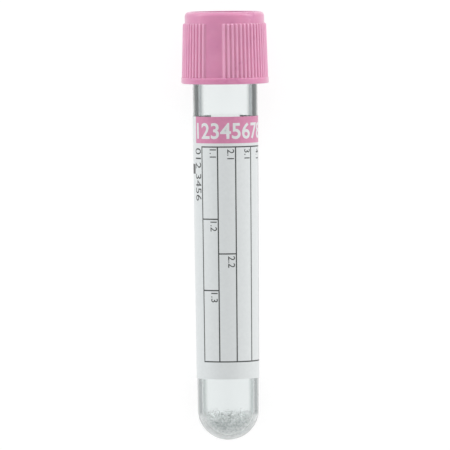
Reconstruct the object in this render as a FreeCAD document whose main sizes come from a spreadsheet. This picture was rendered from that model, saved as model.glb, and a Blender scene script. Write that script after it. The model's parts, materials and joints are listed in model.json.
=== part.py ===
"""Blood collection tube, 13 x 75 mm: a moulded PET tube with a drafted barrel, a hemispherical
end and a three-start quick thread round its mouth, closed by a fluted screw cap that holds a
rubber stopper under a pressed-in retaining ring, with a wrapped label and a dried additive film.

Every piece is modelled upright on the tube's own axis: Z runs from the rounded end to the mouth,
and the label's printed front faces -Y. The assembly is then laid down as it comes to rest, on the
cap's band and the rounded end, with the front of the label on top and the cap towards +Y.
All lengths are in millimetres and all angles in degrees.
"""
import FreeCAD, Part
import math
import os
import Sketcher

SHEET_NAME = "Sizes"
PARTS_FOLDER = "parts"
SMALL = 1e-6  # points nearer than this are taken as one

# Driving dimensions: alias, value, note.
DRIVING = [
    # tube
    ("tube_length", 75.0, "mouth to rounded end"),
    ("neck_radius", 6.28, "outside radius at the mouth"),
    ("neck_length", 7.0, "straight part of the barrel below the mouth"),
    ("tube_wall", 1.0, "wall of the tube"),
    ("draft_angle", 0.31, "moulding draft of the barrel, each side"),
    ("mouth_round", 0.25, "rounding of the mouth's outer edge"),
    # quick thread between tube and cap
    ("thread_starts", 3.0, "number of thread starts"),
    ("thread_lead", 9.0, "rise for one turn"),
    ("thread_arc", 100.0, "angle that each flight runs round"),
    ("thread_depth", 0.42, "height of a flight above its wall"),
    ("thread_root", 0.95, "axial width of a flight at its wall"),
    ("thread_crest", 0.5, "axial width of a flight at its crest"),
    ("thread_drop", 0.75, "from the mouth to the top of the tube's flights"),
    ("thread_clearance", 0.12, "gap between the mating flanks and crests"),
    # cap shell
    ("cap_height", 13.9, "skirt edge to top face"),
    ("cap_overlap", 5.8, "how far the skirt comes down over the tube"),
    ("cap_wall", 1.655, "wall of the skirt at its plain band"),
    ("lead_in", 0.35, "chamfer inside the skirt's edge"),
    ("band_height", 1.2, "height of the plain band at the skirt's edge"),
    ("band_round", 0.2, "rounding of the band's lower edge, and chamfer of its upper one"),
    ("flute_step", 0.1, "how far the flutes stand in from the plain band"),
    ("flute_depth", 0.34, "height of the flutes above the skirt"),
    ("flute_width", 0.46, "width of one flute"),
    ("flute_crown", 0.14, "height of the rounded crest of a flute"),
    ("flute_bevel", 0.4, "height of the slope that ends a flute under the collar"),
    ("flute_lean", 0.29, "how much narrower the skirt is under the collar than at the band"),
    ("flute_pitches", 60.0, "flute pitches round the whole cap"),
    ("flute_group", 26.0, "flutes in a group"),
    ("flute_groups", 2.0, "groups, with a plain window between them"),
    ("flute_phase", -1.0, "angle of the first flute from the front, towards +X"),
    ("collar_height", 2.2, "plain collar above the flutes"),
    ("collar_step", 0.045, "how far the collar stands in from the skirt"),
    ("collar_round", 0.85, "rounding of the collar's top edge"),
    ("ledge_height", 0.5, "ledge that carries the stopper's flange"),
    ("snap_depth", 0.28, "depth of the groove that holds the ring"),
    ("snap_height", 1.1, "height of that groove"),
    # stopper
    ("flange_lip", 0.44, "how far the stopper's flange stands out over the tube's mouth"),
    ("flange_height", 2.3, "thickness of the flange"),
    ("flange_round", 0.2, "rounding of the flange's edges"),
    ("plug_depth", 4.9, "length of the plug below the flange"),
    ("plug_relief", 0.2, "how far the plug stands in between its sealing rings"),
    ("plug_wall", 1.66, "wall of the plug round its hollow"),
    ("plug_nose", 0.5, "chamfer that leads the plug into the bore"),
    ("seal_width", 0.9, "axial width of a sealing ring"),
    ("seal_inset", 1.1, "from either end of the plug to the middle of a sealing ring"),
    ("seal_clearance", 0.02, "gap between a sealing ring and the bore, drawn uncompressed"),
    ("well_radius", 3.3, "well over the pierced membrane"),
    ("well_depth", 1.2, "depth of that well"),
    ("hollow_depth", 2.9, "depth of the hollow in the plug's end"),
    ("hollow_chamfer", 0.6, "chamfer at the top of that hollow"),
    ("running_clearance", 0.06, "gap between the stopper and the cap that turns on it"),
    # retaining ring
    ("ring_width", 2.16, "from the ring's outside to its bore"),
    ("ring_recess", 0.45, "how far the ring's face lies under the cap's top face"),
    ("ring_land", 0.6, "flat face left outside the funnel"),
    ("funnel_depth", 1.0, "cone that guides a needle hub into the well"),
    ("core_width", 0.7, "groove moulded up into the ring from below"),
    ("core_roof", 2.29, "what that groove leaves under the ring's face"),
    ("press_clearance", 0.02, "gap drawn between pressed faces"),
    # label and additive
    ("label_start", 12.1, "rounded end to the label's lower edge"),
    ("label_height", 50.8, "height of the label"),
    ("label_thickness", 0.09, "film with its adhesive"),
    ("label_gap", 0.01, "gap drawn between the label and the barrel"),
    ("label_window", 62.0, "angle left open behind, to see the fill level"),
    ("film_thickness", 0.1, "dried additive"),
    ("film_lip", 0.5, "how far the additive reaches above the rounded end"),
    ("film_gap", 0.01, "gap drawn between the additive and the tube"),
]


# ---------------------------------------------------------------- sizes with their expressions
class Size:
    """A number together with the spreadsheet expression that it comes from."""

    def __init__(self, value, text):
        self.value = float(value)
        self.text = text

    def joined(self, other, sign, value):
        text = other.text if isinstance(other, Size) else repr(float(other))
        return Size(value, f"({self.text} {sign} {text})")

    def __add__(self, other):
        return self.joined(other, "+", self.value + number(other))

    def __sub__(self, other):
        return self.joined(other, "-", self.value - number(other))

    def __mul__(self, other):
        return self.joined(other, "*", self.value * number(other))

    def __truediv__(self, other):
        return self.joined(other, "/", self.value / number(other))


ZERO = Size(0, "0")
FULL_TURN = Size(360, "360")


def number(amount):
    return amount.value if isinstance(amount, Size) else float(amount)


def sine(angle):
    return Size(math.sin(math.radians(angle.value)), f"sin({angle.text} * 1 deg)")


def cosine(angle):
    return Size(math.cos(math.radians(angle.value)), f"cos({angle.text} * 1 deg)")


def tangent(angle):
    return Size(math.tan(math.radians(angle.value)), f"tan({angle.text} * 1 deg)")


def arc_tangent(rise, run):
    """The angle, in degrees, whose tangent is rise over run."""
    degrees = math.degrees(math.atan2(rise.value, run.value))
    return Size(degrees, f"(atan2({rise.text}; {run.text}) / 1 deg)")


def arc_sine(ratio):
    """The angle, in degrees, whose sine is ratio."""
    return Size(math.degrees(math.asin(ratio.value)), f"(asin({ratio.text}) / 1 deg)")


def square_root(amount):
    return Size(math.sqrt(amount.value), f"sqrt({amount.text})")


def crown_radius(width, rise):
    """The radius of an arc that rises so far over a chord so wide."""
    return (width * width / 4 + rise * rise) / (rise * 2)


# ---------------------------------------------------------------- document and driving sizes
doc = FreeCAD.newDocument("BloodCollectionTube")
sheet = doc.addObject("Spreadsheet::Sheet", SHEET_NAME)
for row, (alias, value, note) in enumerate(DRIVING, start=1):
    sheet.set(f"A{row}", note)
    sheet.set(f"B{row}", repr(value))
    sheet.setAlias(f"B{row}", alias)
doc.recompute()


def size(alias):
    return Size(sheet.get(alias), f"{SHEET_NAME}.{alias}")


# Heights on the tube's axis, and radii round it, that several pieces share.
mouth = size("tube_length")
neck = size("neck_radius")
barrel_top = mouth - size("neck_length")
draft = tangent(size("draft_angle"))
end_radius = (neck - barrel_top * draft) / (Size(1, "1") - draft)  # also its centre's height
bore = neck - size("tube_wall")
end_bore = end_radius - size("tube_wall")

thread_rise = size("thread_lead") * size("thread_arc") / FULL_TURN
flank_rise = (size("thread_root") - size("thread_crest")) / 2
tube_thread_low = mouth - size("thread_drop") - size("thread_root") - thread_rise
flank_overlap = flank_rise * (size("thread_clearance") / size("thread_depth") + 1)
cap_thread_low = tube_thread_low - size("thread_root") - size("thread_clearance") + flank_overlap
thread_wall = neck + size("thread_depth") + size("thread_clearance")

cap_low = mouth - size("cap_overlap")
cap_top = cap_low + size("cap_height")
band_radius = thread_wall + size("cap_wall")
band_top = cap_low + size("band_height")
flute_top = cap_top - size("collar_height")
crest_low = band_radius - size("flute_step")
crest_high = crest_low - size("flute_lean")
skirt_low = crest_low - size("flute_depth")
skirt_high = crest_high - size("flute_depth")
collar_radius = skirt_high - size("collar_step")

flange_radius = neck + size("flange_lip")
flange_top = mouth + size("flange_height")
chamber_radius = flange_radius + size("running_clearance")
ring_low = flange_top + size("running_clearance")
ring_top = cap_top - size("ring_recess")
snap_middle = (ring_low + ring_top) / 2


def barrel_radius(height):
    """Outside radius of the drafted barrel at a height above the rounded end."""
    return neck - (barrel_top - height) * draft


# ---------------------------------------------------------------- modelling helpers
X_AXIS, Y_AXIS, ROOT_POINT = -1, -2, 1  # Sketcher's numbers for its own axes and origin
START, END = 1, 2  # and for the ends of a curve


def new_body(label):
    body = doc.addObject("PartDesign::Body", label)
    body.Label = label
    return body


def origin_feature(body, role):
    return next(feature for feature in body.Origin.OriginFeatures if feature.Role == role)


def bind(feature, path, amount):
    feature.setExpression(path, amount.text)


def section_sketch(body, name, turn=0):
    """A sketch of a half-section: its X is the radius and its Y the height on the tube's axis.
    It faces +X, or is turned about that axis by an angle."""
    sketch = body.newObject("Sketcher::SketchObject", name)
    sketch.AttachmentSupport = [(origin_feature(body, "XZ_Plane"), "")]
    sketch.MapMode = "FlatFace"
    turned = FreeCAD.Rotation(FreeCAD.Vector(0, 1, 0), turn)
    sketch.AttachmentOffset = FreeCAD.Placement(FreeCAD.Vector(), turned)
    return sketch


def level_sketch(body, name, height, turn):
    """A sketch square to the tube's axis at a height, turned about that axis from +X."""
    sketch = body.newObject("Sketcher::SketchObject", name)
    sketch.AttachmentSupport = [(origin_feature(body, "XY_Plane"), "")]
    sketch.MapMode = "FlatFace"
    bind(sketch, "AttachmentOffset.Base.z", height)
    bind(sketch, "AttachmentOffset.Rotation.Angle", turn)
    return sketch


def vector(point):
    return FreeCAD.Vector(point[0].value, point[1].value, 0)


def arc_middle(begin, finish, radius, side):
    """The middle of the shorter arc from begin to finish, bulging right (+1) or left (-1)."""
    chord = finish - begin
    right = FreeCAD.Vector(chord.y, -chord.x, 0).normalize()
    half = chord.Length / 2
    rise = radius - math.sqrt(max(radius * radius - half * half, 0))
    return (begin + finish) * 0.5 + right * (rise * side)


def pin_point(sketch, curve, vertex, point):
    """Fixes an end of a curve at a pair of Sizes measured from the sketch's origin."""
    for kind, axis, amount in (("DistanceX", Y_AXIS, point[0]), ("DistanceY", X_AXIS, point[1])):
        if amount is ZERO:
            sketch.addConstraint(Sketcher.Constraint("PointOnObject", curve, vertex, axis))
            continue
        rule = Sketcher.Constraint(kind, X_AXIS, ROOT_POINT, curve, vertex, amount.value)
        bind(sketch, f"Constraints[{sketch.addConstraint(rule)}]", amount)


def outline(sketch, points, arcs=None):
    """A closed outline through points, each a pair of Sizes. arcs gives, by the index of the
    point that it starts at, an arc's radius and the side of the walk that it bulges to."""
    arcs = arcs or {}
    corners = [vector(point) for point in points]
    followers = corners[1:] + corners[:1]
    for index, (begin, finish) in enumerate(zip(corners, followers)):
        if index in arcs:
            radius, side = arcs[index]
            curve = Part.Arc(begin, arc_middle(begin, finish, radius.value, side), finish)
        else:
            curve = Part.LineSegment(begin, finish)
        sketch.addGeometry(curve, False)
    # Sketcher keeps each arc anticlockwise, so an arc that is walked clockwise begins at its END.
    forwards = [sketch.getPoint(index, START).isEqual(corner, SMALL)
                for index, corner in enumerate(corners)]
    for index, point in enumerate(points):
        before = index - 1 if index else len(points) - 1
        vertex = START if forwards[index] else END
        before_vertex = END if forwards[before] else START
        rule = Sketcher.Constraint("Coincident", before, before_vertex, index, vertex)
        sketch.addConstraint(rule)
        pin_point(sketch, index, vertex, point)
    for index, (radius, _) in arcs.items():
        rule = Sketcher.Constraint("Radius", index, radius.value)
        bind(sketch, f"Constraints[{sketch.addConstraint(rule)}]", radius)


def turned(body, sketch, name, kind="PartDesign::Revolution"):
    """A full revolution of a half-section, or a groove cut by one."""
    feature = body.newObject(kind, name)
    feature.Profile = sketch
    feature.ReferenceAxis = (sketch, ["V_Axis"])
    feature.Angle = FULL_TURN.value
    return feature


def polar_pattern(body, name, span, count):
    """A pattern about the tube's axis, over the angle span from the first copy to the last."""
    pattern = body.newObject("PartDesign::PolarPattern", name)
    pattern.Axis = (origin_feature(body, "Z_Axis"), [""])
    bind(pattern, "Angle", span)
    bind(pattern, "Occurrences", count)
    return pattern


def thread(body, name, wall, depth, low):
    """Thread flights on a wall: one helical flight of trapezoid section, patterned by its starts.
    depth is positive outwards and negative inwards, and low is where the lower flank begins."""
    outwards = math.copysign(1, depth.value)
    buried = size("thread_clearance")  # how far a flight starts inside its wall
    base = wall - buried * outwards
    tip = wall + depth
    spread = flank_rise * buried / size("thread_depth")
    sketch = section_sketch(body, f"{name}_section")
    outline(sketch, [
        (base, low - spread),
        (tip, low + flank_rise),
        (tip, low + flank_rise + size("thread_crest")),
        (base, low + size("thread_root") + spread),
    ])
    flight = body.newObject("PartDesign::AdditiveHelix", f"{name}_flight")
    flight.Profile = sketch
    flight.ReferenceAxis = (sketch, ["V_Axis"])
    flight.Mode = 0  # by pitch and height
    bind(flight, "Pitch", size("thread_lead"))
    bind(flight, "Height", thread_rise)
    flight.LeftHanded = False
    pattern = polar_pattern(body, f"{name}_flights", FULL_TURN, size("thread_starts"))
    pattern.Originals = [flight]
    body.Tip = pattern


# ---------------------------------------------------------------- the pieces
def make_tube():
    body = new_body("tube")
    sketch = section_sketch(body, "tube_section")
    edge = size("mouth_round")
    outline(sketch, [
        (ZERO, ZERO),
        (end_radius, end_radius),
        (neck, barrel_top),
        (neck, mouth - edge),
        (neck - edge, mouth),
        (bore, mouth),
        (bore, barrel_top),
        (end_bore, end_radius),
        (ZERO, size("tube_wall")),
    ], {0: (end_radius, 1), 3: (edge, 1), 7: (end_bore, -1)})
    turned(body, sketch, "tube_barrel")
    thread(body, "tube_thread", neck, size("thread_depth"), tube_thread_low)
    return body


def make_stopper():
    body = new_body("stopper")
    sketch = section_sketch(body, "stopper_section")
    plug_low = mouth - size("plug_depth")
    seal = bore - size("seal_clearance")
    plug = seal - size("plug_relief")
    nose = size("plug_nose")
    half = size("seal_width") / 2
    lower_ring = plug_low + size("seal_inset")
    upper_ring = mouth - size("seal_inset")
    bulge = (crown_radius(size("seal_width"), size("plug_relief")), 1)
    hollow = plug - size("plug_wall")
    roof = plug_low + size("hollow_depth")
    corner = size("hollow_chamfer")
    edge = size("flange_round")
    outline(sketch, [
        (ZERO, roof),
        (hollow - corner, roof),
        (hollow, roof - corner),
        (hollow, plug_low),
        (plug - nose, plug_low),
        (plug, plug_low + nose),
        (plug, lower_ring - half),
        (plug, lower_ring + half),
        (plug, upper_ring - half),
        (plug, upper_ring + half),
        (plug, mouth),
        (flange_radius - edge, mouth),
        (flange_radius, mouth + edge),
        (flange_radius, flange_top - edge),
        (flange_radius - edge, flange_top),
        (size("well_radius"), flange_top),
        (size("well_radius"), flange_top - size("well_depth")),
        (ZERO, flange_top - size("well_depth")),
    ], {6: bulge, 8: bulge, 11: (edge, 1), 13: (edge, 1)})
    turned(body, sketch, "stopper_turned")
    return body


def make_cap_shell():
    body = new_body("cap_shell")
    sketch = section_sketch(body, "shell_section")
    edge = size("band_round")
    shoulder = size("collar_round")
    lead = size("lead_in")
    ledge_bore = neck + size("thread_clearance")
    ledge_low = mouth - size("ledge_height")
    snap_half = size("snap_height") / 2
    outline(sketch, [
        (thread_wall + lead, cap_low),
        (band_radius - edge, cap_low),
        (band_radius, cap_low + edge),
        (band_radius, band_top - edge),
        (band_radius - edge, band_top),
        (skirt_low, band_top),
        (skirt_high, flute_top),
        (collar_radius, flute_top),
        (collar_radius, cap_top - shoulder),
        (collar_radius - shoulder, cap_top),
        (chamber_radius, cap_top),
        (chamber_radius, snap_middle + snap_half),
        (chamber_radius + size("snap_depth"), snap_middle),
        (chamber_radius, snap_middle - snap_half),
        (chamber_radius, mouth),
        (ledge_bore, mouth),
        (ledge_bore, ledge_low),
        (thread_wall, ledge_low - (thread_wall - ledge_bore)),
        (thread_wall, cap_low + lead),
    ], {1: (edge, 1), 8: (shoulder, 1)})
    turned(body, sketch, "shell_turned")
    thread(body, "cap_thread", thread_wall, ZERO - size("thread_depth"), cap_thread_low)
    add_flutes(body)
    return body


def flute_section(body, name, height, skirt, crest):
    """One flute's outline at a height: a rib with a crowned crest, rooted inside the skirt."""
    quarter_turn = 90  # from the object's front, which faces -Y, to the sketch's +X
    sketch = level_sketch(body, name, height, size("flute_phase") - quarter_turn)
    half = size("flute_width") / 2
    root = skirt - size("flute_depth")
    side = crest - size("flute_crown")
    outline(sketch, [
        (root, ZERO - half),
        (side, ZERO - half),
        (side, half),
        (root, half),
    ], {1: (crown_radius(size("flute_width"), size("flute_crown")), 1)})
    return sketch


def add_flutes(body):
    """Two groups of leaning flutes from the band to the collar, with their tops bevelled."""
    buried = size("band_height") / 2  # how far a flute's foot starts inside the band
    foot = flute_section(body, "flute_foot", band_top - buried, skirt_low, crest_low)
    head = flute_section(body, "flute_head", flute_top, skirt_high, crest_high)
    flute = body.newObject("PartDesign::AdditiveLoft", "flute")
    flute.Profile = foot
    flute.Sections = [head]
    flute.Ruled = True
    pattern = body.newObject("PartDesign::MultiTransform", "flutes")
    pitch = FULL_TURN / size("flute_pitches")
    group_span = pitch * (size("flute_group") - 1)
    group = polar_pattern(body, "flute_group_pattern", group_span, size("flute_group"))
    groups = polar_pattern(body, "flute_groups_pattern", FULL_TURN, size("flute_groups"))
    pattern.Originals = [flute]
    pattern.Transformations = [group, groups]
    body.Tip = pattern
    bevel = section_sketch(body, "flute_bevel_section")
    reach = size("flute_bevel")
    outline(bevel, [
        (skirt_high, flute_top),
        (skirt_high, flute_top + reach),
        (band_radius, flute_top + reach),
        (band_radius, flute_top - reach),
        (crest_high, flute_top - reach),
    ])
    turned(body, bevel, "flute_tops_bevelled", "PartDesign::Groove")


def make_cap_ring():
    body = new_body("cap_ring")
    sketch = section_sketch(body, "ring_section")
    outside = chamber_radius - size("press_clearance")
    well = outside - size("ring_width")
    bead = size("snap_depth") - size("press_clearance") * 2
    bead_half = size("snap_height") / 2 - size("press_clearance") * 2
    core_inner = (outside + well) / 2 - size("core_width") / 2
    core_outer = core_inner + size("core_width")
    core_top = ring_top - size("core_roof")
    outline(sketch, [
        (well, ring_low),
        (core_inner, ring_low),
        (core_inner, core_top),
        (core_outer, core_top),
        (core_outer, ring_low),
        (outside, ring_low),
        (outside, snap_middle - bead_half),
        (outside + bead, snap_middle),
        (outside, snap_middle + bead_half),
        (outside, ring_top),
        (outside - size("ring_land"), ring_top),
        (well, ring_top - size("funnel_depth")),
    ])
    turned(body, sketch, "ring_turned")
    return body


def make_label():
    body = new_body("label")
    front = -90  # from +X to the object's front
    sketch = section_sketch(body, "label_section", front)
    low = size("label_start")
    high = low + size("label_height")
    inside_low = barrel_radius(low) + size("label_gap")
    inside_high = barrel_radius(high) + size("label_gap")
    outline(sketch, [
        (inside_low, low),
        (inside_low + size("label_thickness"), low),
        (inside_high + size("label_thickness"), high),
        (inside_high, high),
    ])
    wrap = turned(body, sketch, "label_wrapped")
    wrap.Midplane = True
    bind(wrap, "Angle", FULL_TURN - size("label_window"))
    return body


def make_additive_coating():
    body = new_body("additive_coating")
    sketch = section_sketch(body, "coating_section")
    outside = end_bore - size("film_gap")
    inside = outside - size("film_thickness")
    rim = end_radius + size("film_lip")
    outline(sketch, [
        (ZERO, end_radius - outside),
        (outside, end_radius),
        (outside, rim),
        (inside, rim),
        (inside, end_radius),
        (ZERO, end_radius - inside),
    ], {0: (outside, 1), 4: (inside, -1)})
    turned(body, sketch, "coating_film")
    return body


# ---------------------------------------------------------------- laying the assembly down
def lay_down(bodies):
    """Rests the assembly on its rounded end and the rounded lower edge of the cap's band, with
    its lowest point at zero height and its box centred on the origin. Returns the tilt."""
    edge = size("band_round")
    edge_centre = band_radius - edge
    run = cap_low + edge - end_radius
    span = square_root(run * run + edge_centre * edge_centre)
    tilt = arc_tangent(edge_centre, run) - arc_sine((end_radius - edge) / span)
    shoulder = size("collar_round")
    near = end_radius * cosine(tilt) - end_radius
    far = (cap_top - shoulder) * cosine(tilt) + (collar_radius - shoulder) * sine(tilt) + shoulder
    for body in bodies:
        upright_to_lying = FreeCAD.Rotation(FreeCAD.Vector(1, 0, 0), tilt.value - 90)
        body.Placement = FreeCAD.Placement(FreeCAD.Vector(), upright_to_lying)
        bind(body, "Placement.Base.y", ZERO - (near + far) / 2)
        bind(body, "Placement.Base.z", end_radius - end_radius * sine(tilt))
    return tilt


def recompute_checked():
    doc.recompute()
    for thing in doc.Objects:
        faults = {"Invalid", "Error"} & set(thing.State)
        if faults:
            raise RuntimeError(f"{thing.Label}: {faults} {thing.getStatusString()}")


def export(bodies):
    os.makedirs(PARTS_FOLDER, exist_ok=True)
    for body in bodies:
        if body.Shape.isNull() or not body.Shape.isValid():
            raise RuntimeError(f"{body.Label}: the shape is missing or not valid")
    for body in bodies:
        body.Shape.exportStep(os.path.join(PARTS_FOLDER, f"{body.Label}.step"))


pieces = [make_tube(), make_stopper(), make_cap_shell(), make_cap_ring(), make_label(),
          make_additive_coating()]
recompute_checked()
rest_tilt = lay_down(pieces)
recompute_checked()
export(pieces)
for piece in pieces:
    box = piece.Shape.optimalBoundingBox()
    corners = [box.XMin, box.YMin, box.ZMin, box.XMax, box.YMax, box.ZMax]
    print(piece.Label, len(piece.Shape.Solids), round(piece.Shape.Volume, 2),
          [round(corner, 3) for corner in corners])
print("rest tilt", round(rest_tilt.value, 4))
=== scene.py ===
"""Looks of the blood collection tube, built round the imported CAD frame.

Every piece is a mesh made here in the tube's own coordinates: the origin is the outside of the
rounded end, Z runs along the axis to the mouth, and the front of the label faces -Y. Sizes are in
millimetres and angles in degrees from the front towards +X. TUBE_FRAME takes a piece to its place.
"""
import json
import math
from types import SimpleNamespace

import bmesh
import bpy
import numpy as np
from mathutils import Matrix, Vector


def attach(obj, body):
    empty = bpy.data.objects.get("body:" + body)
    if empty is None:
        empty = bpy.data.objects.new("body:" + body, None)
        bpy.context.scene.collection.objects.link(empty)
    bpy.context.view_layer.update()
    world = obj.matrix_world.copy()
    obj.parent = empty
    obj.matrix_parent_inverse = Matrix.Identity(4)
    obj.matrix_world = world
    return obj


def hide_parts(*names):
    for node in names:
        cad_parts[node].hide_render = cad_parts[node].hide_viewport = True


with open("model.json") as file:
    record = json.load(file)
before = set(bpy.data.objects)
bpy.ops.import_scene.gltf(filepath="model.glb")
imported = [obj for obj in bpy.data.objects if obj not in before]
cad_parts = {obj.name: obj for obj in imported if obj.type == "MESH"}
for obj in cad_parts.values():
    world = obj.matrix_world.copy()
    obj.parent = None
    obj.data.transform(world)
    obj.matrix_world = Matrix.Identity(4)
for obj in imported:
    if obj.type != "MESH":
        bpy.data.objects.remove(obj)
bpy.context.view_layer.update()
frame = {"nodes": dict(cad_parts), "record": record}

MM = 0.001


# ---------------------------------------------------------------- the tube's own frame
def tube_frame(mouth_height):
    """The matrix from tube coordinates to the row frame, from the joint that the cap turns on."""
    joint = next(joint for joint in frame["record"]["behaviour"]["joints"]
                 if joint["name"] == "cap_turn")
    along = Vector(joint["axis"]).normalized()
    across = Vector((1, 0, 0))
    behind = along.cross(across)
    turn = Matrix((across, behind, along)).transposed().to_4x4()
    origin = Vector(joint["pos_m"]) - along * mouth_height
    return Matrix.Translation(origin) @ turn


MOUTH = 75.0
TUBE_FRAME = tube_frame(MOUTH * MM)


def reach(node):
    """How far a CAD node goes in tube coordinates: its radius, and its lowest and highest height."""
    to_tube = TUBE_FRAME.inverted()
    points = [to_tube @ vertex.co / MM for vertex in frame["nodes"][node].data.vertices]
    return SimpleNamespace(
        radius=max(point.xy.length for point in points),
        low=min(point.z for point in points),
        high=max(point.z for point in points),
    )


TUBE = reach("tube")
STOPPER = reach("stopper")
CAP = reach("cap_shell")
RING = reach("cap_ring")
LABEL = reach("label")
COATING = reach("additive_coating")

# Sizes that a box can't give, as in the CAD source.
WALL = 1.0
NECK_LENGTH = 7.0
DRAFT = math.radians(0.31)
THREAD_STARTS = 3
THREAD_LEAD = 9.0
THREAD_ARC = 100.0  # degrees that a flight runs
THREAD_DEPTH = 0.42
THREAD_ROOT = 0.95  # a flight's width at its wall
THREAD_CREST = 0.5
THREAD_DROP = 0.75  # from the mouth to the flights' upper ends
CLEARANCE = 0.12

NECK = TUBE.radius - THREAD_DEPTH
BORE = NECK - WALL
NECK_LOW = MOUTH - NECK_LENGTH
END_RADIUS = (NECK - NECK_LOW * math.tan(DRAFT)) / (1 - math.tan(DRAFT))
THREAD_WALL = NECK + THREAD_DEPTH + CLEARANCE
FLIGHT_RISE = THREAD_LEAD * THREAD_ARC / 360.0
FLIGHT_LOW = MOUTH - THREAD_DROP - THREAD_ROOT - FLIGHT_RISE


def barrel(height):
    """Outside radius of the drafted barrel."""
    return NECK - (NECK_LOW - height) * math.tan(DRAFT)


# ---------------------------------------------------------------- outlines
ROUND_STEPS = 5


def rounded(corners):
    """Points (radius, height) along an outline of corners (radius, height, rounding)."""
    path = []
    for index, (radius, height, rounding) in enumerate(corners):
        corner = Vector((radius, height))
        if not rounding:
            path.append(corner)
            continue
        before = (Vector(corners[index - 1][:2]) - corner).normalized()
        after = (Vector(corners[(index + 1) % len(corners)][:2]) - corner).normalized()
        half = before.angle(after) / 2
        begin = corner + before * (rounding / math.tan(half))
        finish = corner + after * (rounding / math.tan(half))
        centre = corner + (before + after).normalized() * (rounding / math.sin(half))
        for step in range(ROUND_STEPS + 1):
            spoke = (begin - centre).slerp(finish - centre, step / ROUND_STEPS)
            path.append(centre + spoke.normalized() * rounding)
    return [tuple(point) for point in path]


def arc(centre, radius, start, finish, steps):
    """Points on an arc round (radius, height) = centre, its angles from outwards towards the mouth."""
    angles = np.radians(np.linspace(start, finish, steps + 1))
    return [(centre[0] + radius * math.cos(angle), centre[1] + radius * math.sin(angle))
            for angle in angles]


def smooth_step(value, low, high):
    """A smooth climb from 0 to 1 as the value goes from low to high."""
    share = np.clip((value - low) / (high - low), 0, 1)
    return share * share * (3 - 2 * share)


# ---------------------------------------------------------------- meshes
def piece(name, points, faces, body, node, materials, face_materials=None):
    """A piece in tube coordinates from points in millimetres, riding on a CAD body."""
    mesh = bpy.data.meshes.new(name)
    turn = np.array(TUBE_FRAME.to_3x3())
    placed = np.asarray(points) * MM @ turn.T + np.array(TUBE_FRAME.translation)
    mesh.from_pydata([tuple(point) for point in placed], [], faces)
    for material in materials:
        mesh.materials.append(material)
    if face_materials is not None:
        mesh.polygons.foreach_set("material_index", face_materials)
    obj = bpy.data.objects.new(name, mesh)
    bpy.context.scene.collection.objects.link(obj)
    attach(obj, body)
    if node:
        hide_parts(node)
    return obj


MERGE = 1e-8  # metres; points of a row at the axis become one
CREASE = math.radians(32)


def close_up(obj):
    """Merges the points on the axis, turns every face outwards and shades the surface smoothly."""
    mesh = obj.data
    shell = bmesh.new()
    shell.from_mesh(mesh)
    bmesh.ops.remove_doubles(shell, verts=shell.verts, dist=MERGE)
    bmesh.ops.recalc_face_normals(shell, faces=shell.faces)
    shell.to_mesh(mesh)
    shell.free()
    mesh.polygons.foreach_set("use_smooth", [True] * len(mesh.polygons))
    mesh.set_sharp_from_angle(angle=CREASE)
    weighted = obj.modifiers.new("flat faces keep their normals", "WEIGHTED_NORMAL")
    weighted.keep_sharp = True
    return obj


def on_axis(radii, heights, angles):
    """Points at radii and heights round the tube's axis, at angles in degrees from the front."""
    turn = np.radians(angles)
    return np.stack([radii * np.sin(turn), -radii * np.cos(turn), heights], axis=-1)


def lathe_points(rows, angles):
    """Points [row][column] from rows of (radius, height), each a number or one for each column."""
    columns = len(angles)
    radii = np.array([np.broadcast_to(row[0], columns) for row in rows])
    heights = np.array([np.broadcast_to(row[1], columns) for row in rows])
    return on_axis(radii, heights, angles)


def lathe_faces(rows, columns, closed):
    """Quads of a grid that closes round its columns, and over its rows if it is closed."""
    faces = []
    for row in range(rows if closed else rows - 1):
        here, there = row * columns, (row + 1) % rows * columns
        for column in range(columns):
            beside = (column + 1) % columns
            faces.append((here + column, here + beside, there + beside, there + column))
    return faces


def columns_round(count):
    """Evenly spaced angles round the tube."""
    return np.arange(count) * 360.0 / count


def lathe(name, rows, angles, body, node, material, closed):
    """A piece turned about the tube's axis from rows of (radius, height)."""
    points = lathe_points(rows, angles).reshape(-1, 3)
    faces = lathe_faces(len(rows), len(angles), closed)
    return close_up(piece(name, points, faces, body, node, [material]))


# ---------------------------------------------------------------- materials
# Noise scales are per metre and heights of bumps are in metres.
MOST = (0.3, 0.7)  # values that nearly all of a noise lies between
MIDDLE = (0.35, 0.65)
CORE = (0.40, 0.60)
CLOUD_SCALE = 260.0
GRAIN_SCALE = 9000.0
GRAIN_BUMP = 2e-5
SATIN_LOW, SATIN_HIGH = -0.04, 0.05  # how far a moulding's roughness wanders
FLOW_SCALE = 420.0
FLOW_STRETCH = (1, 1, 0.12)
FLOW_BUMP, FLOW_STRENGTH = 4e-6, 0.6
FLOW_ROUGH = 0.02
MOTTLE_SCALE = 1500.0
MOTTLE_ROUGH = 0.05
PAPER_SCALE = 6000.0
PAPER_BUMP, PAPER_STRENGTH = 5e-6, 0.2


def shader_of(material):
    """A material's Principled shader."""
    return next(node for node in material.node_tree.nodes if node.type == "BSDF_PRINCIPLED")


def new_material(name):
    """A material with a node tree, and its Principled shader."""
    material = bpy.data.materials.new(name)
    material.use_nodes = True
    return material, shader_of(material)


def put(tree, kind, settings=None, **inputs):
    """A node with its settings, and its inputs by name: numbers, colours or other nodes' outputs."""
    node = tree.nodes.new(kind)
    for key, value in (settings or {}).items():
        setattr(node, key, value)
    for key, value in inputs.items():
        connect(tree, node.inputs[key.replace("_", " ")], value)
    return node


def connect(tree, socket, value):
    """Sets a socket to a value, or links it to another node's output."""
    if isinstance(value, bpy.types.NodeSocket):
        tree.links.new(value, socket)
    else:
        socket.default_value = value


def combine(tree, operation, first, second):
    """The sum, largest or other result of two numbers."""
    node = put(tree, "ShaderNodeMath", {"operation": operation})
    connect(tree, node.inputs[0], first)
    connect(tree, node.inputs[1], second)
    return node.outputs[0]


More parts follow.
